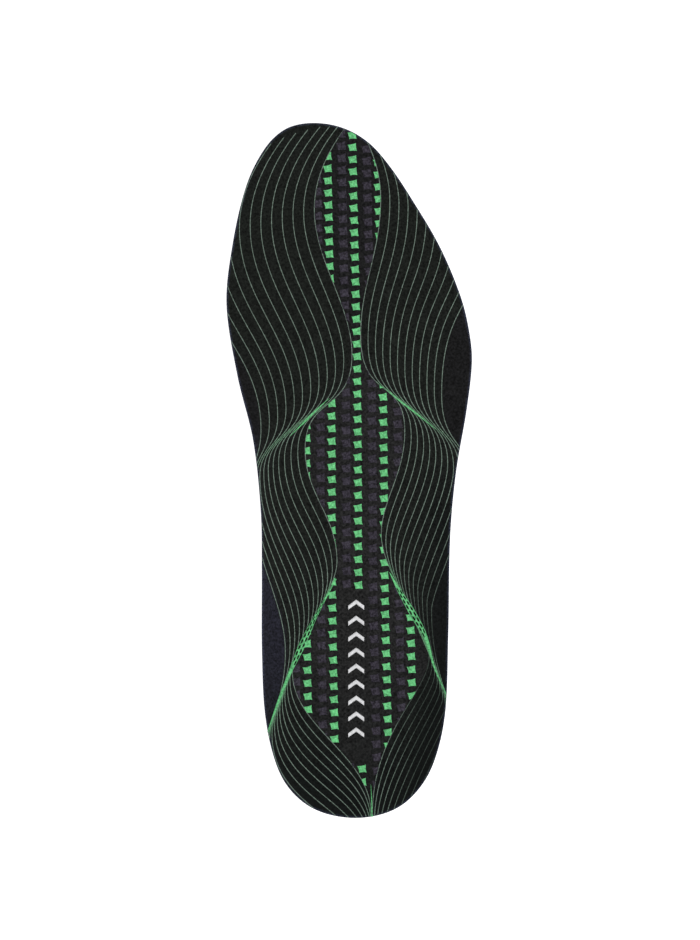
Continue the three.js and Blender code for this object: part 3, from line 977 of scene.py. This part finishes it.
def knit_material(name, colour, shadow_share=0.45, mottle=0.6, tints=(), **inputs):
    """Fine knit: painted shade between the stitches, uneven, and tinted where the piece's named attributes
    say.
    """
    made = material(name, Roughness=KNIT_ROUGHNESS, **inputs)
    tree = made.node_tree
    shader = tree.nodes["Principled BSDF"]
    place = place_mm(tree)
    stitches = knit_height(tree, place)
    fibre = noise(tree, place, *KNIT_FIBRE)
    for attribute, tint in tints:
        share = add(tree, "ShaderNodeAttribute")
        share.attribute_name = attribute
        colour = mix_colour(tree, share.outputs["Fac"], colour, tint)
    # Painted shade between the stitches, with part of it given back all over.
    level = math_node(tree, "MULTIPLY_ADD", stitches, shadow_share, 1 - shadow_share * SHADOW_OFFSET)
    uneven = varied(tree, noise(tree, place, *KNIT_CLOUD), mottle)
    specks = math_node(tree, "MAXIMUM", varied(tree, fibre, FIBRE_CONTRAST * mottle), DARKEST_FIBRE)
    brightness = math_node(tree, "MULTIPLY", math_node(tree, "MULTIPLY", level, uneven), specks)
    plain = colour if tints else colour[:3]
    scaled = add(tree, "ShaderNodeVectorMath", "SCALE", i0=plain, Scale=brightness).outputs[0]
    tree.links.new(scaled, shader.inputs["Base Color"])
    bump_height = math_node(tree, "MULTIPLY_ADD", fibre, FIBRE_IN_BUMP, stitches)
    depth = KNIT_BUMP_DEPTH * MM
    bump = add(tree, "ShaderNodeBump", Strength=KNIT_BUMP_STRENGTH, Distance=depth, Height=bump_height)
    tree.links.new(bump.outputs[0], shader.inputs["Normal"])
    return made


def foam_material(name, colour, cell, depth, **inputs):
    """Open-cell or moulded foam: pores of one size and depth in mm, painted shade in them, and a slight
    variation.
    """
    made = material(name, **inputs)
    tree = made.node_tree
    shader = tree.nodes["Principled BSDF"]
    place = place_mm(tree)
    pores = add(tree, "ShaderNodeTexVoronoi", Vector=place, Scale=1 / cell).outputs["Distance"]
    cloud = noise(tree, place, CLOUD_SCALE, FOAM_CLOUD_DETAIL)
    # Painted shade in the pores: the colour is darkest at each pore's middle.
    level = varied(tree, pores, PORE_SHADE_CONTRAST)
    uneven = varied(tree, cloud, FOAM_CLOUD_CONTRAST)
    brightness = math_node(tree, "MULTIPLY", level, uneven)
    scaled = add(tree, "ShaderNodeVectorMath", "SCALE", i0=colour[:3], Scale=brightness).outputs[0]
    tree.links.new(scaled, shader.inputs["Base Color"])
    bump = add(tree, "ShaderNodeBump", Strength=FOAM_BUMP_STRENGTH, Distance=depth * MM, Height=pores)
    tree.links.new(bump.outputs[0], shader.inputs["Normal"])
    return made


LOW_SPECULAR = {"Specular_IOR_Level": 0.12}
FINE_PRINT = {"shadow_share": 0.3, "mottle": 0.3, **LOW_SPECULAR}
COARSE_PRINT = {"shadow_share": 0.45, "mottle": 0.5, **LOW_SPECULAR}
DENSE_PRINT = {"shadow_share": 0.2, "mottle": 0.1, **LOW_SPECULAR}
BARE = srgb(27, 27, 28)
# The cover's tints: the print's blacks, the arch wall's navy with painted light, painted shade on the heel
# and outer wall, and the bluish edge.
TINTS = [
    ("wave_zone", srgb(27, 30, 27)),
    ("lens_zone", srgb(39, 39, 39)),
    ("arch_navy_and_painted_light", srgb(39, 39, 50)),
    ("heel_painted_shade", srgb(15, 19, 18)),
    ("edge_zone", srgb(78, 84, 110)),
]
# The lines' tints: greener where they bunch, and painted shade on the heel's outer side.
LINE_TINTS = [("bunched", srgb(100, 182, 120)), ("faint", srgb(66, 76, 70))]
KNIT_BLACK = knit_material("knit_black", BARE, tints=TINTS, Sheen_Weight=0.05, **LOW_SPECULAR)
INK_GREEN = knit_material("ink_green", srgb(118, 216, 142), **FINE_PRINT)
INK_LINE = knit_material("ink_line", srgb(126, 144, 132), tints=LINE_TINTS, **FINE_PRINT)
INK_GREY = knit_material("ink_grey", srgb(63, 59, 69), **COARSE_PRINT)
INK_WHITE = knit_material("ink_white", srgb(250, 250, 252), **DENSE_PRINT)
COMFORT_FOAM = foam_material(
    "comfort_foam", srgb(48, 52, 58), cell=0.45, depth=0.15, Roughness=0.95, **LOW_SPECULAR
)
BASE_FOAM = foam_material(
    "base_foam", srgb(34, 34, 37), cell=0.9, depth=0.06, Roughness=0.8, Specular_IOR_Level=0.25
)
SHELL_PLASTIC = foam_material("shell_plastic", srgb(24, 25, 28), cell=0.35, depth=0.02, Roughness=0.4)
GEL = foam_material("gel", srgb(52, 160, 84), cell=2.2, depth=0.02, Roughness=0.28, Coat_Weight=0.15)


# ------------------------------------------------------------------ pieces


def flex(piece):
    """Bakes the piece's transform into its mesh."""
    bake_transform(piece)


def finish_piece(piece, look):
    """Gives a new piece its material and bakes its transform into its mesh."""
    piece.data.materials.append(look)
    flex(piece)
    return piece


row_width = lateral_edge(outline_y) - medial_edge(outline_y)

top_cover = finish_piece(
    layer("top_cover", "top", "cover_bottom", **COVER_EDGE, zones=cover_zones), KNIT_BLACK
)
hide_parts("top_cover_rear", "top_cover_front")
comfort_foam = finish_piece(
    layer("comfort_foam", "foam_top", "foam_bottom", **COMFORT_EDGE), COMFORT_FOAM
)
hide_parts("comfort_foam_rear", "comfort_foam_front")
foam_base = cut_recesses(layer("foam_base", "base_top", "underside", **BASE_EDGE))
finish_piece(foam_base, BASE_FOAM)
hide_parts("foam_base_rear", "foam_base_front")

wave_print = finish_piece(print_lines(), INK_LINE)
band_print = finish_piece(print_bands(), INK_GREEN)
gap_print = finish_piece(print_plait_gaps(), KNIT_BLACK)
green_print = finish_piece(print_squares("green_square_print", COLUMNS, 1.0), INK_GREEN)
grey_print = finish_piece(
    print_squares("grey_square_print", GREY_COLUMNS, GREY_GROWTH), INK_GREY
)
chevrons = finish_piece(print_chevrons(), INK_WHITE)

for node, look in (("arch_shell", SHELL_PLASTIC), ("heel_gel_pad", GEL), ("forefoot_gel_pad", GEL)):
    cad_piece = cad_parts[node]
    cad_piece.data.materials.clear()
    cad_piece.data.materials.append(look)

# ------------------------------------------------------------------ floor, lights and camera

WHITE = (1.0, 1.0, 1.0, 1.0)
FLOOR_HALF = 3.0
FLOOR_GAP = 0.2
FLOOR_GLOW = 0.8
SKY_STRENGTH = 0.5

# Each lamp: its place and its disk's width in metres, and its power in watts.
LAMPS = {
    "key": {"place": (0.9, -0.5, 1.5), "width": 1.2, "power": 11.0},
    "fill": {"place": (-0.9, 0.6, 1.3), "width": 1.4, "power": 4.0},
}

# The picture is this high at the level of the insole's rim. The sensor's size goes with that height.
IMAGE_HEIGHT_MM = 378.7
OUTLINE_LEVEL = 10.0
CAMERA_SHIFT_MM = (0.3, -0.2)
LENS = 200.0
SENSOR = 36.0


def add_floor():
    """A wide white floor just under the insole, bright enough to lose its shadows."""
    mesh = bpy.data.meshes.new("floor")
    corners = [(x * FLOOR_HALF, y * FLOOR_HALF, 0) for x, y in ((-1, -1), (1, -1), (1, 1), (-1, 1))]
    mesh.from_pydata(corners, [], [(0, 1, 2, 3)])
    floor = bpy.data.objects.new("floor", mesh)
    floor.location.z = -FLOOR_GAP * MM
    bpy.context.scene.collection.objects.link(floor)
    mesh.materials.append(material(
        "floor_white", Base_Color=WHITE, Roughness=0.9, Emission_Color=WHITE, Emission_Strength=FLOOR_GLOW
    ))


def add_sky():
    """Even white light from all round."""
    world = bpy.data.worlds.new("studio")
    bpy.context.scene.world = world
    world.use_nodes = True
    background = world.node_tree.nodes["Background"]
    background.inputs[0].default_value = WHITE
    background.inputs[1].default_value = SKY_STRENGTH


def add_lamp(name, place, width, power):
    """A round soft light that points at the insole."""
    light = bpy.data.lights.new(name, "AREA")
    light.shape = "DISK"
    light.size = width
    light.energy = power
    lamp = bpy.data.objects.new(name, light)
    lamp.location = place
    lamp.rotation_mode = "QUATERNION"
    lamp.rotation_quaternion = (-Vector(place)).to_track_quat("-Z", "Y")
    bpy.context.scene.collection.objects.link(lamp)


def add_camera():
    """A long lens that looks straight down."""
    data = bpy.data.cameras.new("camera")
    data.lens = LENS
    data.sensor_width = SENSOR
    made = bpy.data.objects.new("camera", data)
    distance = IMAGE_HEIGHT_MM * LENS / SENSOR
    made.location = (CAMERA_SHIFT_MM[0] * MM, CAMERA_SHIFT_MM[1] * MM, (distance + OUTLINE_LEVEL) * MM)
    bpy.context.scene.collection.objects.link(made)
    bpy.context.scene.camera = made


add_floor()
add_sky()
for lamp_name, lamp_values in LAMPS.items():
    add_lamp(lamp_name, **lamp_values)
add_camera()
bpy.context.scene.view_settings.view_transform = "Standard"
